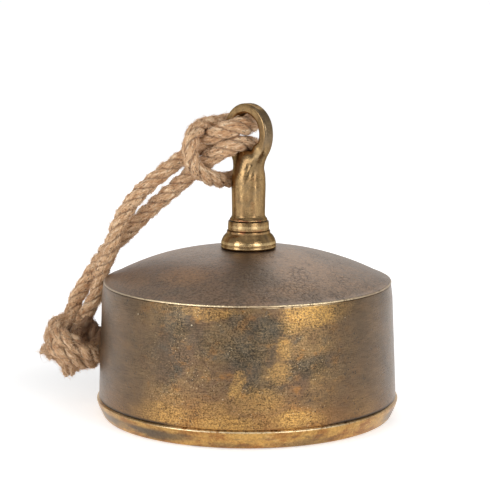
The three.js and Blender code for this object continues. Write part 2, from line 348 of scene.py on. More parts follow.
def wall_brass():
    m = Material("wall_brass", Metallic=1.0, Coat_Weight=0.10, Coat_Roughness=0.35, Coat_IOR=1.45)
    around, height = turned_place(m)
    u = m.wander(m.times(around, WALL_RADIUS), m.noise(0.010, 6, 0.7), 20.0)
    v = m.wander(height, m.noise(0.007, 6, 0.75, source=m.stretched(0.6, 0.6, 1.6)), 14.0)
    gold = patches(m, u, v, GOLD_PATCHES)
    dark = patches(m, u, v, DARK_PATCHES)
    turned = m.noise(0.006, 4, 0.7, source=m.stretched(1, 1, 13))
    grain = m.noise(0.00085, 3, 0.75, source=m.stretched(1, 1, 1.2))
    speck = m.math("ADD", grain, m.times(turned, 0.5))
    # patches
    murk = m.times(dark, m.ease(speck, 0.66, 0.90, 1.0, 0.5))
    murky = m.mix(m.ease(m.noise(0.006), 0.4, 0.6), MURK, SLATE)
    colour = m.mix(murk, wall_ground(m, v), murky)
    colour = m.mix(m.times(gold, m.ease(speck, 0.62, 0.84, 0.25, 1.0)), colour, GOLD)
    # the plainer sides
    side = m.ease(m.off(around, -0.02), 0.42, 0.85, 0.0, 0.85)
    side = m.times(side, m.ease(v, 10.0, 24.0, 0.72, 1.0))
    cloud = m.noise(0.016, 5, 0.6, 0.2, m.stretched(1, 1, 2.5))
    plain = m.mix(m.ease(cloud, 0.38, 0.62), (0.127, 0.087, 0.055), (0.169, 0.110, 0.065))
    colour = m.mix(side, colour, plain)
    # grain and turned lines
    tone = m.mix(m.ease(grain, 0.32, 0.64), (0.40, 0.38, 0.36), (1.42, 1.40, 1.30))
    zone = m.ease(m.noise(0.013, 4, 0.6), 0.38, 0.62, 0.45, 1.0)
    colour = m.mix(m.times(zone, m.math("MULTIPLY_ADD", side, -0.75, 1.0)), colour, tone, "MULTIPLY")
    lines = m.mix(m.ease(turned, 0.30, 0.68), (0.72, 0.71, 0.70), (1.16, 1.15, 1.12))
    zone = m.ease(m.noise(0.017, 3, 0.6), 0.38, 0.60, 0.45, 1.0)
    colour = m.mix(zone, colour, lines, "MULTIPLY")
    # pits, painted specks of highlight on the grain, and a few scars
    pits = m.dots(0.0016, 0.12, 0.30, 0.009, 0.50, 0.60)
    colour = m.mix(m.times(pits, 0.75), colour, (0.035, 0.032, 0.028))
    painted_glints = m.dots(0.0015, 0.10, 0.20, 0.010, 0.47, 0.60)
    painted_glints = m.times(painted_glints, m.math("MULTIPLY_ADD", side, -0.9, 0.75))
    colour = m.mix(painted_glints, colour, (0.66, 0.50, 0.30))
    colour = m.mix(m.ease(m.cells(0.013), 0.036, 0.022, 0.0, 0.6), colour, (0.75, 0.62, 0.42))
    colour = wall_edges(m, colour, around, height)
    rough = m.math("ADD", m.ease(grain, 0.3, 0.7, 0.27, 0.42), m.times(dark, 0.08))
    normal = m.bump(turned, 0.00012, 0.6)
    normal = m.bump(m.math("SUBTRACT", m.times(grain, 0.7), pits), 0.00020, 0.8, normal)
    return m.done(Base_Color=colour, Roughness=rough, Normal=normal)


def dome_brass():
    m = Material("dome_brass", Metallic=1.0, Coat_Weight=0.12, Coat_Roughness=0.40, Coat_IOR=1.45)
    around, _ = turned_place(m)
    radius = m.times(m.measure("LENGTH", m.stretched(1, 1, 0)), 1 / MM)
    grain = m.noise(0.0013, 4, 0.75)
    lumps = m.noise(0.0036, 4, 0.6, 0.3)
    cloud = m.noise(0.030, 6, 0.60, 0.3)
    colour = m.mix(m.ease(cloud, 0.36, 0.64), (0.240, 0.178, 0.134), (0.295, 0.200, 0.135))
    colour = m.mix(m.ease(m.noise(0.016, 6, 0.65), 0.52, 0.68, 0.0, 0.5), colour, (0.175, 0.148, 0.122))
    colour = m.mix(m.ease(lumps, 0.54, 0.72, 0.0, 0.35), colour, (0.15, 0.115, 0.09))
    u = m.wander(m.times(around, WALL_RADIUS), m.noise(0.010, 5, 0.65), 22.0)
    colour = m.mix(patches(m, u, radius, BARE_SPOTS), colour, (0.40, 0.245, 0.135))
    # the stem's painted shadow on the dome
    colour = m.mix(patches(m, u, radius, STEM_SHADOW_SPOTS), colour, (0.165, 0.125, 0.092))
    # cracks like leather's, and pits
    crack = m.ease(m.cells(0.0028, "DISTANCE_TO_EDGE"), 0.0, 0.14, 1.0, 0.0)
    crack = m.times(crack, m.ease(m.noise(0.014, 3, 0.6), 0.46, 0.60))
    colour = m.mix(m.times(crack, 0.34), colour, (0.08, 0.065, 0.055))
    pits = m.dots(0.0021, 0.10, 0.28, 0.011, 0.50, 0.62)
    colour = m.mix(m.times(pits, 0.6), colour, (0.05, 0.04, 0.032))
    tone = m.mix(m.ease(grain, 0.32, 0.64), (0.60, 0.59, 0.58), (1.26, 1.24, 1.19))
    colour = m.mix(1.0, colour, tone, "MULTIPLY")
    # the rim bead painted bright as a highlight, which fades towards the sides and is weaker just in front
    lit = m.ease(m.off(around, 0.02), 0.95, 0.45, 0.30, 1.0)
    front_gap = m.ease(m.off(around, 0.03), 0.10, 0.22, 0.45, 1.0)
    rim = m.times(m.ease(radius, 71.05, 71.3), m.ease(m.noise(0.003, 4, 0.75), 0.30, 0.46), lit, front_gap)
    colour = m.mix(rim, colour, BRIGHT)
    rough = m.math("SUBTRACT", m.ease(grain, 0.3, 0.7, 0.36, 0.50), m.times(rim, 0.15))
    normal = m.bump(lumps, 0.0006, 0.7)
    dips = m.math("MAXIMUM", pits, m.times(crack, 0.5))
    normal = m.bump(m.math("SUBTRACT", m.times(grain, 0.7), dips), 0.00045, 0.8, normal)
    return m.done(Base_Color=colour, Roughness=rough, Normal=normal)


def foot_brass():
    m = Material("foot_brass", Metallic=1.0, Coat_Weight=0.12, Coat_Roughness=0.35, Coat_IOR=1.45)
    around, height = turned_place(m)
    grain = m.noise(0.0012, 4, 0.75)
    turned = m.noise(0.008, 5, 0.7, source=m.stretched(1, 1, 6))
    cloud = m.noise(0.012, 5, 0.65, 0.3, m.stretched(1, 1, 2))
    colour = m.mix(m.ease(cloud, 0.38, 0.58), ORANGE, GOLD)
    colour = m.mix(m.ease(turned, 0.54, 0.72, 0.0, 0.6), colour, (0.72, 0.47, 0.19))
    # stains, mostly under the ridge
    ragged = m.noise(0.008, 6, 0.7, source=m.stretched(0.6, 0.6, 3))
    u = m.wander(m.times(around, WALL_RADIUS), ragged, 30.0)
    dirty = patches(m, u, m.wander(height, ragged, 8.0), STAINS)
    mottle = m.noise(0.010, 6, 0.7, 0.3, m.stretched(1, 1, 3.2))
    stain = m.math("MAXIMUM", m.ease(mottle, 0.50, 0.64, 0.0, 0.55), dirty)
    stain = m.times(stain, m.ease(height, 7.6, 5.6, 0.12, 1.0), 0.9)
    colour = m.mix(stain, colour, (0.10, 0.082, 0.065))
    colour = m.mix(m.ease(m.noise(0.006, 4, 0.7), 0.60, 0.72, 0.0, 0.5), colour, (0.24, 0.10, 0.045))
    # a painted highlight along the top of the ridge, which fades towards the sides
    lit = m.ease(m.off(around, 0.06), 0.75, 0.45, 0.25, 1.0)
    crest_highlight = m.times(m.ease(height, 8.4, 8.8), m.ease(m.noise(0.005, 4, 0.7), 0.32, 0.46), lit)
    colour = m.mix(crest_highlight, colour, BRIGHT)
    tone = m.mix(m.ease(grain, 0.32, 0.66), (0.72, 0.70, 0.68), (1.15, 1.15, 1.12))
    colour = m.mix(1.0, colour, tone, "MULTIPLY")
    rough = m.ease(grain, 0.3, 0.7, 0.26, 0.40)
    normal = m.bump(m.math("ADD", m.times(turned, 0.6), m.times(grain, 0.4)), 0.0002, 0.6)
    return m.done(Base_Color=colour, Roughness=rough, Normal=normal)


EYE_HEIGHT = 140.5  # mm, the middle of the eye's hole
RUSTY_SEAMS = (92.3, 97.6)  # heights in mm
# bands of rubbed brass painted brighter, to stand in for highlights on the flange, its lip and the collar
HIGHLIGHT_BANDS = ((86.7, 0.9, 0.8), (84.5, 0.4, 0.5), (94.6, 1.0, 0.45))  # height, half height, amount


def stem_rust_and_painted_light(m, colour, x, height):
    """The colour, darker round the throat under the eye, with painted shade on the eye's outer side, a spot
    painted bright under the eye as a highlight, rust at the seams and bands painted bright as highlights.
    """
    # darker brown round the throat under the eye
    throat = m.ease(m.off(height, 126.5), 6.0, 2.5, 0.0, 0.5)
    colour = m.mix(throat, colour, (0.170, 0.115, 0.060))
    for seam in RUSTY_SEAMS:
        near = m.ease(m.off(height, seam), 1.3, 0.3)
        rust = m.times(near, m.ease(m.noise(0.004, 3, 0.6), 0.50, 0.62, 0.0, 0.7))
        colour = m.mix(rust, colour, (0.34, 0.125, 0.060))
    # painted shade on the upper outer side of the eye's right limb
    from_axis = m.measure("DISTANCE", m.stretched(1, 0, 1), (0, 0, EYE_HEIGHT * MM))
    rim = m.times(m.ease(from_axis, 0.0140, 0.0147), m.ease(x, 0.001, 0.008, 0.0, 0.60))
    rim = m.times(rim, m.ease(height, 129.0, 139.0))
    colour = m.mix(rim, colour, (0.165, 0.132, 0.095))
    # a painted highlight: a small bright spot on the front, where the eye's right limb meets the stem
    under = m.measure("DISTANCE", m.place, seen(0.0068, -0.0090, 0.1302))
    colour = m.mix(m.ease(under, 0.0040, 0.0015, 0.0, 0.4), colour, (0.62, 0.45, 0.25))
    # painted highlights: brighter bands round the flange's edge, its lip and the collar
    for middle, reach, amount in HIGHLIGHT_BANDS:
        band_highlight = m.ease(m.off(height, middle), reach, reach * 0.3, 0.0, amount)
        band_highlight = m.times(band_highlight, m.ease(m.noise(0.004, 3, 0.6), 0.34, 0.50, 0.4, 1.0))
        colour = m.mix(band_highlight, colour, (0.74, 0.54, 0.28))
    return colour


def stem_brass():
    m = Material("stem_brass", Metallic=1.0, Specular_Tint=(0.42, 0.40, 0.38, 1.0))
    x, _, z = m.split()
    grain = m.noise(0.0009, 4, 0.7)
    streak = m.noise(0.0030, 4, 0.6, 0.3, m.stretched(1, 1, 0.30))
    colour = m.mix(m.ease(streak, 0.36, 0.62), (0.235, 0.147, 0.069), (0.360, 0.232, 0.107))
    colour = m.mix(m.ease(m.noise(0.007, 5, 0.6, 0.4), 0.52, 0.68, 0.0, 0.45), colour, (0.175, 0.130, 0.080))
    colour = m.mix(m.ease(m.noise(0.005, 4, 0.6), 0.58, 0.70, 0.0, 0.40), colour, (0.36, 0.185, 0.080))
    pits = m.dots(0.0012, 0.10, 0.24, 0.006, 0.56, 0.66)
    colour = m.mix(m.times(pits, 0.5), colour, (0.10, 0.07, 0.04))
    colour = stem_rust_and_painted_light(m, colour, x, m.times(z, 1 / MM))
    tone = m.mix(m.ease(grain, 0.32, 0.66), (0.80, 0.79, 0.78), (1.12, 1.12, 1.10))
    colour = m.mix(1.0, colour, tone, "MULTIPLY")
    rough = m.ease(grain, 0.3, 0.7, 0.16, 0.25)
    normal = m.bump(m.noise(0.0030, 3, 0.6), 0.00014, 0.30)
    normal = m.bump(m.math("SUBTRACT", m.times(grain, 0.7), pits), 0.00014, 0.7, normal)
    return m.done(Base_Color=colour, Roughness=rough, Normal=normal)


CREAM = (0.93, 0.73, 0.50)
PALE = (0.76, 0.510, 0.300)
TAN = (0.58, 0.340, 0.175)
RUST = (0.42, 0.195, 0.080)
DEEP = (0.14, 0.068, 0.034)


def jute(name, light=1.0, shadow=0.64):
    """Jute in which the noise is drawn out along the yarn, and a point attribute paints shade into the
    grooves, the creases and where passes touch.
    """
    m = Material(name, Roughness=0.85, Sheen_Weight=0.12, Sheen_Roughness=0.5)
    lay = m.attribute("lay").outputs["Vector"]
    dip = m.attribute("dip").outputs["Fac"]
    hair = m.noise(0.0008, 3, 0.65, source=m.stretched(0.28, 1.0, 1.0, lay))
    streak = m.noise(0.0020, 4, 0.65, source=m.stretched(0.25, 1.0, 1.0, lay))
    fleck = m.noise(0.0010, 2, 0.6, source=m.stretched(0.7, 1.0, 1.0, lay))
    cloud = m.noise(0.008, 4, 0.65)
    cream, pale, tan, rust, deep = (tuple(light * c for c in rgb) for rgb in (CREAM, PALE, TAN, RUST, DEEP))
    colour = m.mix(m.ease(streak, 0.36, 0.62), tan, pale)
    colour = m.mix(m.ease(cloud, 0.50, 0.68, 0.0, 0.40), colour, rust)
    colour = m.mix(m.ease(hair, 0.53, 0.64, 0.0, 0.85), colour, rust)
    colour = m.mix(m.ease(hair, 0.47, 0.36, 0.0, 0.85), colour, cream)
    colour = m.mix(m.ease(fleck, 0.57, 0.66, 0.0, 0.85), colour, deep)
    # painted shade: the deep brown mixed in by the point attribute, up to the shadow amount
    colour = m.mix(m.ease(dip, 0.20, 1.0, 0.0, shadow), colour, deep)
    normal = m.bump(m.math("ADD", hair, streak), 0.0005, 0.9)
    return m.done(Base_Color=colour, Normal=normal)


def fibre(name):
    """Loose fibres, each from dark to pale by its own shade."""
    m = Material(name, Roughness=0.8, Sheen_Weight=0.15)
    shade = m.attribute("shade").outputs["Fac"]
    colour = m.mix(m.ease(shade, 0.0, 0.35), (0.26, 0.130, 0.058), (0.62, 0.385, 0.205))
    colour = m.mix(m.ease(shade, 0.35, 1.0), colour, (0.95, 0.76, 0.53))
    colour = m.mix(m.ease(m.noise(0.0025, 3, 0.6), 0.40, 0.65, 0.0, 0.5), colour, (0.52, 0.28, 0.130))
    return m.done(Base_Color=colour)


def plain_stuff(name, dark, light, size, **sockets):
    """Felt, cement or steel that the finished object hides or shows only from below."""
    m = Material(name, **sockets)
    grain = m.noise(size, 5, 0.7)
    cloud = m.noise(size * 12, 4, 0.6)
    colour = m.mix(m.ease(grain, 0.35, 0.65), dark, light)
    colour = m.mix(m.ease(cloud, 0.45, 0.65, 0.0, 0.35), colour, dark)
    return m.done(Base_Color=colour, Normal=m.bump(grain, size * 0.4, 0.8))


# ---------------- the rope's route

EXIT_TO_EXIT = (
    (-69.5, -49.5, 42), (-68.5, -46.4, 48.5), (-67.1, -43.1, 54), (-66.3, -40.4, 61), (-64.8, -40.5, 67.5),
    (-60.3, -41.3, 74), (-55.3, -42, 80.5), (-51.8, -42.5, 87), (-48.5, -41.2, 96), (-43, -35.5, 108),
    (-36, -27, 118), (-27.6, -18.5, 127.3), (-19, -11.3, 135.3), (-10.3, -9.6, 140.3), (-3.7, -5, 143.35),
    (-2.2, 1.8, 143.9), (-5.5, 8.7, 144.8), (-13, 12.2, 145.2), (-19.3, 8.2, 145), (-20.4, 0.6, 144.1),
    (-20.8, -8.1, 143.8), (-18.7, -17, 141.6), (-16.6, -22.3, 137.2), (-15.4, -24.3, 132.9),
    (-14.6, -24.2, 128.2), (-14.2, -21.7, 123.6), (-13.2, -16.7, 120), (-13, -9.5, 117.3), (-13.7, -1, 116.2),
    (-14.5, 6.5, 117.2), (-12, 12.5, 121), (-7.2, 13.8, 126.5), (-3.2, 9.2, 131.9), (-2.2, 2, 134.8),
    (-3.8, -5, 134.6), (-9.3, -10.5, 131.2), (-16.8, -12.5, 126.1), (-26, -16, 118), (-36, -21.5, 108.3),
    (-46.5, -27.5, 97.5), (-56, -32.5, 87), (-64.8, -35.8, 79), (-72, -37, 70.5), (-76.3, -40.5, 61.5),
    (-77, -46.3, 54), (-75.5, -52.5, 43),
)  # fmt: skip


def smooth_line(points, step):
    """A centripetal Catmull-Rom curve through the points, as evenly spaced points, and its length."""
    pts = np.asarray(points, float)
    pts = np.vstack([2 * pts[0] - pts[1], pts, 2 * pts[-1] - pts[-2]])
    out = []
    for p0, p1, p2, p3 in zip(pts[:-3], pts[1:-2], pts[2:-1], pts[3:]):
        d0, d1, d2 = (math.sqrt(np.linalg.norm(b - a)) for a, b in ((p0, p1), (p1, p2), (p2, p3)))
        t1 = ((p1 - p0) / d0 - (p2 - p0) / (d0 + d1) + (p2 - p1) / d1) * d1
        t2 = ((p2 - p1) / d1 - (p3 - p1) / (d1 + d2) + (p3 - p2) / d2) * d1
        t = np.linspace(0, 1, 24, endpoint=False)[:, None]
        out.append(
            p1 + t1 * t + (-3 * p1 + 3 * p2 - 2 * t1 - t2) * t**2 + (2 * p1 - 2 * p2 + t1 + t2) * t**3
        )
    line = np.vstack(out + [pts[-2:-1]])
    run = np.r_[0, np.cumsum(np.linalg.norm(np.diff(line, axis=0), axis=1))]
    marks = np.linspace(0, run[-1], int(round(run[-1] / step)) + 1)
    return np.stack([np.interp(marks, run, line[:, k]) for k in range(3)], 1), run[-1]


def carried_frame(line):
    """The tangent and two normals at each point of a line, turning as little as possible."""
    t = unit(np.gradient(line, axis=0))
    n = np.empty_like(line)
    n[0] = unit(np.cross(t[0], (0.31, 0.92, 0.23)))
    for k in range(1, len(line)):
        n[k] = unit(n[k - 1] - t[k] * np.dot(n[k - 1], t[k]))
    return t, n, np.cross(t, n)


SIDES = 44  # points round a strand
YARNS = 11  # grooves round a strand
STRAND_RADIUS = 0.59  # of the rope's
STRAND_OFFSET = 0.42  # from the rope's middle, of its radius


def skin_noise(s, psi, rate, reach, shift, seed):
    """Noise on a strand's skin, at each place s along it in mm and each angle psi round it."""
    place = np.stack([s[:, None] * rate + 0 * psi, reach * np.cos(psi), reach * np.sin(psi)], -1)
    return lattice_noise(place + shift, 1.0, seed)


def laid_rope(line, step, radius=4.0, pitch=23.0, phase=0.0, spread=None, seed=1, sides=SIDES):
    """Three strands laid right-handed round a line in mm.

    Returns points, faces, lay (the place on the yarns), the depth in the grooves, which is used as painted
    shade, and skin.
    """
    _, n, b = carried_frame(line)
    s = np.arange(len(line)) * step
    size = np.ones(len(line)) if spread is None else spread
    strand = radius * STRAND_RADIUS * size
    offset = radius * STRAND_OFFSET * size
    points, faces, lays, dips, skins = [], [], [], [], []
    u = np.arange(sides) / sides
    theta = TAU * (u - 0.10 * np.sin(TAU * u))  # closer together on the outside
    theta = (theta + math.pi) % TAU - math.pi
    around = np.abs(theta)
    base = 0
    for k in range(3):
        turn = phase + TAU * k / 3 + TAU * s / pitch
        out = n * np.cos(turn)[:, None] + b * np.sin(turn)[:, None]
        centre = line + out * offset[:, None]
        tangent = unit(np.gradient(centre, axis=0))
        out = unit(out - tangent * np.sum(out * tangent, axis=1)[:, None])
        side = np.cross(tangent, out)
        psi = theta[None] + 0.34 * s[:, None] + 1.3 * k
        groove = (1 - np.abs(np.cos(psi * YARNS / 2))) ** 2.2
        lump = lattice_noise(np.stack([s, s * 0 + 11 * k, s * 0 + seed], 1), 9.0, 40 + seed)
        knobs = skin_noise(s, psi, 0.35, 2.2, 5 * k, 50 + seed)
        frays = skin_noise(s, psi, 0.9, 6.5, 3 * k, 60 + seed)
        r = strand[:, None] * (1 + 0.05 * lump[:, None] + 0.06 * knobs + 0.045 * frays - 0.15 * groove)
        away = out[:, None] * np.cos(theta)[None, :, None] + side[:, None] * np.sin(theta)[None, :, None]
        ring = centre[:, None] + away * r[..., None]
        points.append(ring.reshape(-1, 3))
        i = base + np.arange(len(line) - 1)[:, None] * sides
        a = np.arange(sides)[None]
        c = (a + 1) % sides
        faces.append(np.stack([i + a, i + c, i + sides + c, i + sides + a], -1).reshape(-1, 4))
        lay = np.stack([s[:, None] + 0 * psi, 2.0 * np.cos(psi) + 9 * k, 2.0 * np.sin(psi)], -1)
        lays.append(lay.reshape(-1, 3) * MM)
        # painted shade: darker on the strand's sides that face its neighbours and in the yarn grooves
        deep = np.clip((around - 0.75) / 0.75, 0, 1)
        dips.append(np.maximum(0.70 * groove, deep[None] - 0.25 * frays).reshape(-1))
        outer = around < 1.1
        along = np.repeat(tangent, outer.sum(), axis=0)
        skins.append((ring[:, outer].reshape(-1, 3), away[:, outer].reshape(-1, 3), along))
        faces.append(cap(base, sides, 0))
        faces.append(cap(base + (len(line) - 1) * sides, sides, 1))
        base += len(line) * sides
    skin = tuple(np.vstack([q[j] for q in skins]) for j in range(3))
    return np.vstack(points), faces, np.vstack(lays), np.concatenate(dips), skin


def cap(first, sides, last):
    """A closing polygon over a ring of points."""
    ids = first + np.arange(sides)
    return (ids if last else ids[::-1])[None]


def join(parts):
    """Several (points, faces, lay, dip, skin) as one."""
    points, faces, lays, dips, base = [], [], [], [], 0
    for p, f, lay, dip, _ in parts:
        points.append(p)
        faces.extend(x + base for x in f)
        lays.append(lay)
        dips.append(dip)
        base += len(p)
    skin = tuple(np.vstack([q[4][j] for q in parts]) for j in range(3))
    return np.vstack(points), faces, np.vstack(lays), np.concatenate(dips), skin


def hairs(skin, count, length, lift, seed, thick, curl=1.0, scatter=0.55):
    """Loose fibres on a rope's skin, as thin tapering three-sided tubes in mm.

    The skin is points with their outward directions and the directions along the rope.
    Returns points, faces and a shade for each point.
    """
    rng = np.random.default_rng(seed)
    pick = rng.integers(0, len(skin[0]), count)
    start, out, along = (q[pick] for q in skin)
    side = np.cross(along, out)
    sign = rng.choice([-1, 1], count)[:, None]
    reach = rng.uniform(0.4, 1.0, count)[:, None] ** 1.5 * length
    heading = unit(along * sign + side * rng.normal(0, scatter, count)[:, None])
    rise = rng.uniform(0.05, 1.0, count)[:, None] ** 2 * lift
    swirl = rng.normal(0, 0.35 * curl, (count, 1))
    rings = 4
    t = np.linspace(0, 1, rings)
    stages = []
    for q in t:
        sideways = heading * reach * q + side * swirl * reach * q * q
        outwards = 0.30 * min(1, q * 4) - 0.25 + rise * np.sin(q * 2.4)
        stages.append(start + sideways + out * outwards)
    line = np.stack(stages, 1)
    away = unit(np.gradient(line, axis=1))
    n = unit(np.cross(away, side[:, None] + 0.3 * out[:, None]))
    b = np.cross(away, n)
    width = rng.uniform(0.6, 1.2, count)[:, None] * thick * (1 - 0.7 * t)
    corners = []
    for angle in (0, TAU / 3, 2 * TAU / 3):
        outward = n * math.cos(angle) + b * math.sin(angle)
        corners.append(line + outward * width[..., None])
    ring = np.stack(corners, 2)
    ids = np.arange(count * rings * 3).reshape(count, rings, 3)
    quads = []
    for a, c in ((0, 1), (1, 2), (2, 0)):
        loop = [ids[:, :-1, a], ids[:, :-1, c], ids[:, 1:, c], ids[:, 1:, a]]
        quads.append(np.stack(loop, -1).reshape(-1, 4))
    ends = [ids[:, 0, ::-1], ids[:, -1]]
    shade = np.repeat(rng.uniform(0, 1, count), rings * 3)
    return ring.reshape(-1, 3), [np.vstack(quads), np.vstack(ends)], shade


def near_points(line, first, last, fade):
    """1 for the line between two of the route's points and 0 elsewhere, with soft ends."""
    ends = np.array([EXIT_TO_EXIT[first], EXIT_TO_EXIT[last]])
    first_mark, last_mark = (int(np.argmin(np.linalg.norm(line - end, axis=1))) for end in ends)
    k = np.arange(len(line))
    return np.clip((k - first_mark) / fade + 1, 0, 1) * np.clip((last_mark - k) / fade + 1, 0, 1)


TOUCH = 5.9  # mm from another pass's middle, where its shade begins
TOUCH_FADE = 1.6  # mm further in, where the shade is full
CHUNK = 4000  # points at a time, to spare memory


def against_other_pass(points, line, apart=15):
    """1 for points in mm that lie against a pass of the line other than their own, or else 0."""
    order = np.arange(len(line))
    result = []
    for some in np.array_split(points, max(1, len(points) // CHUNK)):
        far = np.linalg.norm(some[:, None] - line[None], axis=2)
        own = np.argmin(far, axis=1)
        far[np.abs(order[None] - own[:, None]) < apart] = 99.0
        result.append(np.clip((TOUCH - far.min(axis=1)) / TOUCH_FADE, 0, 1))
    return np.concatenate(result)


STEP = 0.75  # mm between the rings of the rope
FUZZ_COUNT = 9000
JUTE = jute("jute_rope")
FUZZ = fibre("jute_fibre")


def rope_piece(name, points, faces, material, crease=60, node=None, **attributes):
    """A piece from points in mm that rides with the rope, and may stand for a CAD node."""
    piece = make_piece(name, points * MM, faces, material, crease, **attributes)
    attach(piece, "rope")
    if node:
        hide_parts(node)
    return piece


route, route_length = smooth_line(EXIT_TO_EXIT, STEP)
swell = 1 + 0.16 * near_points(route, 12, 15, 14) + 0.11 * near_points(route, 34, 36, 12)
points, faces, lay, dip, skin = laid_rope(route, STEP, spread=swell, seed=3)
# painted shade where the rope lies against another of its passes
dip = np.maximum(dip, 0.95 * against_other_pass(points, route[::2]))
rope = rope_piece("jute_rope", points, faces, JUTE, node="rope", lay=lay, dip=dip)
points, faces, shade = hairs(skin, FUZZ_COUNT, 3.6, 0.7, 11, thick=0.11)
# painted shade on the loose fibres where the rope lies against another pass
shade = shade * (1 - 0.85 * against_other_pass(points, route[::2]))
rope_fuzz = rope_piece("rope_fuzz", points, faces, FUZZ, 45, shade=shade)

# ---------------- the knot

KNOT = np.array([-71.3, -52.9, 33.5])


def in_knot(points):
    """Points in the part's frame from ones (right, up, near) of the knot's middle, in mm."""
    p = np.asarray(points, float)
    return KNOT + p[:, :1] * RIGHT + p[:, 1:2] * UP - p[:, 2:] * AWAY


KNOT_WRAPS = (
    # front wraps, side by side, from the upper left over the front to the lower right
    ((-1.5, 6.5, -8), (-6, 8.6, -5), (-9.2, 8.2, 0), (-8.6, 5.6, 5.5), (-4.8, 3.2, 9), (0.8, 0.6, 10.5),
     (6.4, -3, 9), (10.5, -6.2, 4.5), (11.5, -7.8, -2), (8, -8, -7)),
    ((-5, 4, -9), (-9.5, 5, -5), (-11.3, 2.6, 0), (-10.2, -0.6, 5.5), (-6.8, -3.2, 8.5), (-1.2, -6.2, 9.3),
     (4, -8.6, 7), (8, -9.8, 2.5), (9.5, -8.5, -3), (6, -5, -8)),
    # the hump at the upper right, which passes behind the legs
    ((-6, 3, -8), (-1, 6, -8), (4.5, 6.8, -5.5), (9.6, 5, -2), (11.2, 0, 1), (9.6, -4, 4), (4, -7, 4)),
    # the lower band from the bottom towards the wall
    ((-7, -3, -6), (-7, -8, -1), (-2.5, -10, 3), (4, -9.5, 4), (10, -8, 1.5), (12.3, -3, -2.5),
     (9.5, 2.5, -7), (3, 5, -9)),
    # the legs' ends, which tuck behind the front wraps
    ((-1.6, 13, -3.3), (-2.2, 9, -2.2), (-4.5, 5, 1.5), (-4, 0, 4), (1, -5, 3)),
    ((5.2, 12.5, -1.2), (4.2, 8, -0.5), (1.5, 4, 2), (3.5, -2, 4), (7, -6, 0)),
    # a wrap round the back
    ((-9, 3, -3), (-8, -3, -7.5), (-1, -5, -9.5), (6, -2, -9), (8.5, 2, -5), (4, 4, -2)),
)  # fmt: skip
WRAP_STEP = 0.7  # mm between the rings of a wrap


def in_shadow(points):
    """1 on the knot's upper side towards the wall, where little light comes, and 0 elsewhere."""
    beside = (points - KNOT) @ RIGHT
    above = points[:, 2] - KNOT[2]
    return np.clip((beside - 0.5) / 4, 0, 1) * np.clip((above + 3) / 5, 0, 1)


knot_parts = []
for number, wrap in enumerate(KNOT_WRAPS):
    line, _ = smooth_line(in_knot(wrap), WRAP_STEP)
    knot_parts.append(laid_rope(line, WRAP_STEP, radius=4.1, phase=number * 1.1, seed=10 + number, sides=34))
points, faces, lay, dip, skin = join(knot_parts)
# painted shade deep in the knot, towards its middle, and on its upper side towards the wall
crease = np.clip((12.2 - np.linalg.norm(points - KNOT, axis=1)) / 3.0, 0, 1)
dip = np.maximum(dip, np.maximum(crease, in_shadow(points)))
for size, depth, seed in ((4.0, 0.55, 81), (1.6, 0.32, 84)):
    points = points + depth * np.stack([lattice_noise(points, size, seed + k) for k in range(3)], 1)
# the knot's jute: colours slightly darker than the rope's and stronger painted shade
KNOT_JUTE = jute("jute_knot", 0.95, 0.80)
knot = rope_piece("jute_knot", points, faces, KNOT_JUTE, node="end_knot", lay=lay, dip=dip)
points, faces, shade = hairs(skin, FUZZ_COUNT, 4.0, 0.55, 21, thick=0.12, curl=2.0, scatter=0.7)
shade = shade * (1 - 0.95 * in_shadow(points))
knot_fuzz = rope_piece("knot_fuzz", points, faces, FUZZ, 45, shade=shade)

END_YARNS = 24
GOLDEN_TURN = 0.381966  # of a whole turn, which spreads the yarns evenly
TAIL_A = ((-5, -1.5, 3), (-9, -2.5, 4.5), (-12.3, -4.6, 4.5), (-14.2, -7.2, 4))
TAIL_B = ((-1, -6, 4), (-2.5, -10, 5), (-2, -13.2, 5), (-0.4, -16.4, 4.5))


def end_yarn(core, turn, out, rng, seed):
    """One yarn of a cut end, at an angle and a distance from its core, which flares out."""
    _, n, b = carried_frame(core)
    s = np.linspace(0, 1, len(core))
    flare = 1 + rng.uniform(0.1, 0.6) * s**2
    angle = turn + (1.5 + rng.normal(0, 0.6)) * s
    keep = int(len(core) * rng.uniform(0.80, 1.0))
    yarn = core + (n * np.cos(angle)[:, None] + b * np.sin(angle)[:, None]) * (3.2 * out * flare)[:, None]
    taper = np.interp(np.linspace(0, 1, keep), [0, 0.75, 1], [1, 0.95, 0.75])
    return laid_rope(yarn[:keep], 0.5, radius=1.05, pitch=5.0, phase=turn, spread=taper, seed=seed, sides=8)


def frayed_end(name, node, line, seed):
    """A short cut end of the rope whose yarns open into a brush."""
    rng = np.random.default_rng(seed)
    core, _ = smooth_line(in_knot(line), 0.5)
    parts = []
    for k in range(END_YARNS):
        turn = TAU * (k * GOLDEN_TURN + 0.1 * rng.normal())
        out = math.sqrt((k + 0.5) / END_YARNS)
        parts.append(end_yarn(core, turn, out, rng, seed + k))
    points, faces, lay, dip, skin = join(parts)
    # painted shade in the end's yarn grooves, at four fifths
    brush = rope_piece(name, points, faces, KNOT_JUTE, node=node, lay=lay, dip=dip * 0.8)
    tip = carried_frame(core)[0][-1]
    keep = np.sum((skin[0] - core[len(core) // 3]) * tip, axis=1) > 0
    tips = (skin[0][keep], skin[1][keep], np.tile(tip, (keep.sum(), 1)))
    points, faces, shade = hairs(tips, 1200, 3.2, 0.8, seed + 99, thick=0.12, curl=2.0, scatter=0.7)
    return brush, rope_piece(name + "_fibres", points, faces, FUZZ, 45, shade=shade)


tail_a = frayed_end("frayed_end_a", "rope_tail_a", TAIL_A, 61)
tail_b = frayed_end("frayed_end_b", "rope_tail_b", TAIL_B, 71)

# ---------------- the body


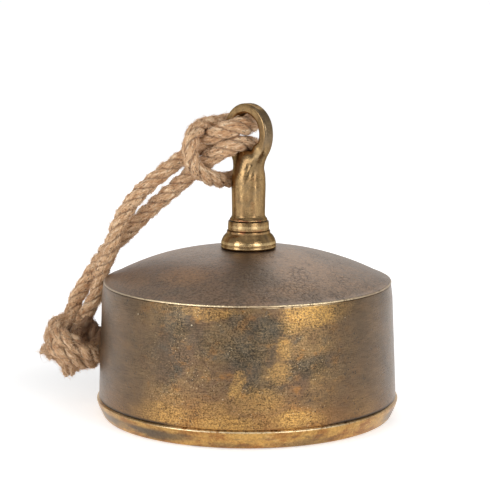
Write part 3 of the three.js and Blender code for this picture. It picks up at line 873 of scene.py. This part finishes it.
def dents(size, depth, seed, flat=1.0):
    """Shallow unevenness for a turned shell in mm, which is all sideways where flat is 1."""

    def bend(p):
        amount = lattice_noise(p, size, seed) * depth + lattice_noise(p, size * 0.3, seed + 1) * depth * 0.3
        return unit(p * (1, 1, 0)) * amount[..., None] + UP * (amount * (1 - flat))[..., None]

    return bend


def shell(name, node, outline, material, bend, segments=288, shift=0.0):
    """A turned piece that stands for a CAD node, moved to the photo's right by the shift in mm."""
    pts, quads = lathe(outline, segments, bend)
    o = make_piece(name, pts + RIGHT * shift * MM, [quads], material)
    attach(o, "weight")
    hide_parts(node)


def dome_height(r, edge, rise):
    """The height of the dome's curve at a distance from the axis, in mm."""
    return edge + rise * (1 - (r / 70) ** 2.487)


# outlines of (radius, height) in mm
PAN = [(4.4, 16), (18, 16), (18, 1.8), (66.4, 1.8), (66.8, 0.6), (67.3, 0.4), (71.5, 0.4), (72.0, 0.6)]
PAN += [(72.4, 1.1), (73.1, 2.6), (74.0, 4.6), (74.8, 6.3), (75.1, 7.5)]
PAN += arc(74.65, 8.45, 0.78, -20, 90, 6)
PAN += [(74.3, 9.5), (73.5, 9.6), (72.8, 9.3), (72.8, 7.5), (69.4, 3.8), (20, 3.8), (20, 18), (4.4, 18)]
WALL = [(74.25, 9.7), (74.4, 9.95), (74.0, 20), (73.25, 40), (72.35, 60), (71.62, 65.6), (71.55, 66.2)]
WALL += [(71.45, 66.55), (71.2, 66.72), (70.6, 66.75), (69.9, 66.4), (70.75, 60), (71.65, 40)]
WALL += [(72.4, 20), (72.6, 9.75)]
DOME = [(69.5, 66.85), (71.3, 66.85), (71.5, 67), (71.52, 67.3), (71.3, 67.62), (70.9, 67.85), (70.2, 68.02)]
DOME += [(r, dome_height(r, 67.87, 15.58)) for r in np.linspace(69.4, 4.4, 56)]
DOME += [(r, dome_height(r, 65.85, 15.55)) for r in np.linspace(4.4, 66.2, 30)]
DOME += [(66.2, 61.6), (69.5, 61.6)]
FLANGE = [(4.4, 83.5), (13.2, 83.5), (13.65, 83.75), (13.8, 84.15), (13.76, 84.7), (13.66, 85.05)]
FLANGE += [(13.67, 85.5), (13.72, 86.0), (13.66, 86.6), (13.45, 87.25), (13.05, 88.3), (12.5, 89.3)]
FLANGE += [(11.8, 90.15), (11.1, 90.75), (10.8, 91.1), (10.85, 91.6), (10.8, 92.2), (10.65, 92.34)]
FLANGE += [(4.4, 92.34)]
COLLAR = [(4.4, 92.4), (10.1, 92.4), (10.25, 92.55), (10.3, 93.6), (10.2, 95.4), (10.1, 96.8)]
COLLAR += [(9.95, 97.05), (4.4, 97.1)]

shell("base_pan_shell", "base_pan", spaced(PAN, 1.6), foot_brass(), dents(24, 0.10, 5))
shell("wall_shell", "wall_band", spaced(WALL, 1.3), wall_brass(), dents(26, 0.16, 7))
shell("dome_shell", "dome_cover", spaced(DOME, 2.0), dome_brass(), dents(30, 0.16, 9, 0.3))

STEM = stem_brass()
OFF_CENTRE = 0.6  # how far the stem stands to the photo's right of the body's axis
uneven = dents(6, 0.06, 13, 0.6)
shell("flange_ring", "stem_flange", spaced(FLANGE, 0.6), STEM, uneven, 160, OFF_CENTRE)
uneven = dents(6, 0.05, 15, 0.8)
shell("collar_ring", "stem_collar", spaced(COLLAR, 0.5), STEM, uneven, 144, OFF_CENTRE)

EYE_SECTION = (2.55, 3.1)  # half the limb's width in the eye's plane, and across it
EYE_ROUNDING = 1.35
EYE_MIDDLE = 12.15  # from the eye's axis to the middle of its limb
STEM_HEIGHTS = [96, 97.3, 97.9, 98.4, 99.0, 99.8, 102, 107, 113, 118, 122, 125, 128, 130, 131.5, 133]
STEM_RADII = [9.3, 9.45, 9.5, 9.2, 8.65, 8.35, 8.3, 8.35, 8.45, 8.4, 8.1, 7.7, 6.9, 5.8, 4.2, 2.0]
STEM_FOOT = 97.3
ROD_HOLE = (4.4, 116)  # its radius and its top


def smooth_min(a, b, k):
    """The lower of two fields, blended where they differ by less than k."""
    h = np.clip(0.5 + 0.5 * (b - a) / k, 0, 1)
    return b + (a - b) * h - k * h * (1 - h)


def from_segment(a, b, start, step):
    """The distance in a plane from a straight segment, and how far along it from 0 to 1."""
    share = ((a - start[0]) * step[0] + (b - start[1]) * step[1]) / (step[0] ** 2 + step[1] ** 2)
    share = np.clip(share, 0, 1)
    return np.hypot(a - start[0] - step[0] * share, b - start[1] - step[1] * share), share


def eye_field(p):
    """Signed distance, in mm, to the stem with its eye."""
    x, y, z = p[..., 0], p[..., 1], p[..., 2]
    right, near = p @ RIGHT, -(p @ AWAY)
    # the eye's ring, slightly longer below its middle
    rise = z - EYE_HEIGHT
    rho = np.hypot(x, np.where(rise < 0, rise * 0.93, rise))
    qx = np.abs(rho - EYE_MIDDLE) - (EYE_SECTION[0] - EYE_ROUNDING)
    qy = np.abs(y) - (EYE_SECTION[1] - EYE_ROUNDING)
    ring = np.hypot(np.maximum(qx, 0), np.maximum(qy, 0)) + np.minimum(np.maximum(qx, qy), 0) - EYE_ROUNDING
    # the stem, with a shallow groove on the front
    turn = np.degrees(np.arctan2(right, near))
    window = np.clip((z - 99) / 3, 0, 1) * np.clip((127 - z) / 5, 0, 1)
    body = np.interp(z, STEM_HEIGHTS, STEM_RADII) - 0.30 * window * np.exp(-(((turn - 8) / 11) ** 2))
    squash = np.interp(z, [120, 131], [1.0, 1.25])
    stem = np.maximum((np.hypot(x, y * squash) - body) * 0.9, z - 131.3)
    field = smooth_min(ring, stem, 4.4)
    # the gusset under the eye's front limb, and the ridge down the front
    far, share = from_segment(x, z, (7.6, 133.0), (-3.4, -13.0))
    field = smooth_min(field, np.hypot(far, y * 0.85) - (3.1 - 0.9 * share), 2.2)
    far, _ = from_segment(right, z, (1.2, 124.5), (-2.6, -8.5))
    field = smooth_min(field, np.hypot(far, near - 7.3) - 0.6, 1.0)
    # hammer marks
    field = field + 0.10 * lattice_noise(p, 6.0, 23) + 0.025 * lattice_noise(p, 1.8, 24)
    field = field + np.exp(-(((z - 118) / 6) ** 2)) * 0.06 * lattice_noise(p, 1.1, 25)
    hole = np.maximum(np.hypot(x, y) - ROD_HOLE[0], z - ROD_HOLE[1])
    return np.maximum(np.maximum(field, -hole), STEM_FOOT - z)


def surface(field, low, high, step):
    """The zero surface of a field as points and quads, by surface nets."""
    axes = [np.arange(a, b + step, step) for a, b in zip(low, high)]
    grid = np.stack(np.meshgrid(*axes, indexing="ij"), -1)
    f = field(grid)
    inside = f < 0
    shape = np.array(f.shape) - 1
    total = np.zeros((*shape, 3))
    count = np.zeros(shape)
    base = np.stack(np.meshgrid(*[np.arange(n) for n in shape], indexing="ij"), -1)
    ids = np.full(shape, -1)
    crossings = []
    for axis in range(3):
        others = [k for k in range(3) if k != axis]
        lo = [slice(None)] * 3
        hi = [slice(None)] * 3
        lo[axis], hi[axis] = slice(0, -1), slice(1, None)
        a, b = f[tuple(lo)], f[tuple(hi)]
        cross = (a < 0) != (b < 0)
        with np.errstate(divide="ignore", invalid="ignore"):
            t = np.where(cross, a / (a - b), 0)
        crossings.append((axis, cross, inside[tuple(lo)]))
        for shift in ((0, 0), (0, 1), (1, 0), (1, 1)):
            cut = [slice(None)] * 3
            spot = base.astype(float)
            for other, d in zip(others, shift):
                cut[other] = slice(d, d + shape[other])
                spot[..., other] += d
            c = cross[tuple(cut)]
            spot[..., axis] += t[tuple(cut)]
            total += spot * c[..., None]
            count += c
    used = count > 0
    ids[used] = np.arange(used.sum())
    points = total[used] / count[used][:, None] * step + np.array(low)
    quads = []
    for axis, cross, starts in crossings:
        one, two = [(1, 2), (2, 0), (0, 1)][axis]
        at = np.argwhere(cross)
        ok = (at[:, one] > 0) & (at[:, two] > 0) & (at[:, one] < shape[one]) & (at[:, two] < shape[two])
        at = at[ok]
        flip = starts[tuple(at.T)]
        loop = []
        for a, b in ((-1, -1), (0, -1), (0, 0), (-1, 0)):
            q = at.copy()
            q[:, one] += a
            q[:, two] += b
            loop.append(ids[tuple(q.T)])
        loop = np.stack(loop, 1)
        loop[~flip] = loop[~flip][:, ::-1]
        quads.append(loop)
    return points, np.vstack(quads)


EYE_GRID = 0.4  # mm
points, quads = surface(eye_field, (-16, -11.6, 96.9), (16, 11.6, 156.6), EYE_GRID)
eye = make_piece("eye_stem_forged", (points + RIGHT * OFF_CENTRE) * MM, [quads], STEM, 60)
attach(eye, "weight")
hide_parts("eye_stem")

# ---------------- nodes kept from the CAD

FELT = ((0.03, 0.028, 0.026), (0.07, 0.066, 0.06))  # its dark and its light colour
FILL = ((0.30, 0.29, 0.27), (0.46, 0.45, 0.42))
STEEL = ((0.40, 0.40, 0.39), (0.56, 0.56, 0.54))
felt = plain_stuff("felt_pad", *FELT, 0.0008, Roughness=0.95, Sheen_Weight=0.3)
fill = plain_stuff("cast_fill", *FILL, 0.0020, Roughness=0.9)
steel = plain_stuff("zinc_steel", *STEEL, 0.0010, Roughness=0.35, Metallic=1.0)
KEPT = {"foot_pad": felt, "ballast": fill}
for node in ("tie_rod", "base_washer", "lock_washer", "base_nut"):
    KEPT[node] = steel
for node, material in KEPT.items():
    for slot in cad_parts[node].material_slots:
        slot.material = material

# ---------------- studio

WHITE = (1, 1, 1, 1)

def floor_material():
    """A pale floor that glows, and less where the real one shows the object's shadow."""
    m = Material("studio_floor", Roughness=0.9, Emission_Color=WHITE, Specular_IOR_Level=0.0)
    tone = m.mix(m.noise(0.4, 2, 0.5), (0.84, 0.84, 0.84), (0.86, 0.86, 0.86))
    shadow = m.measure("DISTANCE", m.place, seen(-0.080, 0.075, 0))
    return m.done(Base_Color=tone, Emission_Strength=m.ease(shadow, 0.0, 0.11, 0.26, 0.55))


FLOOR = 12.0  # m, half its side
DROP = -0.0001  # m, as the floor lies just under the pad
floor_corners = [(-FLOOR, -FLOOR, DROP), (FLOOR, -FLOOR, DROP), (FLOOR, FLOOR, DROP), (-FLOOR, FLOOR, DROP)]
floor = make_piece("studio_floor", np.array(floor_corners), [np.array([[0, 1, 2, 3]])], floor_material())


def studio_sky():
    """White behind the object, and a soft uneven glow that lights it and reflects in it."""
    world = bpy.data.worlds.new("studio")
    bpy.context.scene.world = world
    world.use_nodes = True
    sky = Nodes(world.node_tree, "Generated")

    def along(direction, low, high, start, end):
        """A step by how far the sky's point lies in a direction, from -1 to 1."""
        return sky.ease(sky.measure("DOT_PRODUCT", sky.place, direction), low, high, start, end)

    overhead = along(UP, 0.25, 0.95, 1.0, 0.50)
    behind = along(AWAY, -0.75, 0.35, 0.50, 1.0)
    sideways = along(seen(-0.6, 0.70, 0.35), 0.3, 1.0, 1.0, 1.12)
    zenith = along(seen(0, -0.35, 0.937), 0.80, 0.96, 0.80, 2.0)
    glow = sky.wire("ShaderNodeBackground", (WHITE, sky.times(overhead, behind, sideways, zenith)))
    backdrop = sky.wire("ShaderNodeBackground", (WHITE, 1.05))
    seen_by_camera = sky.node("ShaderNodeLightPath").outputs["Is Camera Ray"]
    either = sky.wire("ShaderNodeMixShader", (seen_by_camera, glow.outputs[0], backdrop.outputs[0]))
    sky.wire("ShaderNodeOutputWorld", (either.outputs[0],))


def softbox(name, place, size, radiance):
    """A rectangular area light of the given radiance, aimed at the object's middle."""
    light = bpy.data.lights.new(name, "AREA")
    light.shape = "RECTANGLE"
    light.size, light.size_y = size
    light.energy = radiance * math.pi * size[0] * size[1]
    o = bpy.data.objects.new(name, light)
    o.location = place
    o.rotation_euler = (Vector(OBJECT_MIDDLE) - Vector(place)).to_track_quat("-Z", "Y").to_euler()
    bpy.context.scene.collection.objects.link(o)


OBJECT_MIDDLE = seen(0, 0, 0.08)
studio_sky()
softbox("left_box", seen(-0.80, -0.67, 0.38), (0.36, 0.72), 3.3)
softbox("right_box", seen(0.62, -0.88, 0.38), (0.32, 0.72), 3.6)
softbox("left_band", seen(-0.62, -0.78, 0.52), (0.90, 0.11), 3.0)
softbox("right_band", seen(0.52, -0.86, 0.52), (0.86, 0.11), 3.0)
softbox("top_box", seen(0.1, 0.9, 1.0), (0.8, 0.6), 1.6)
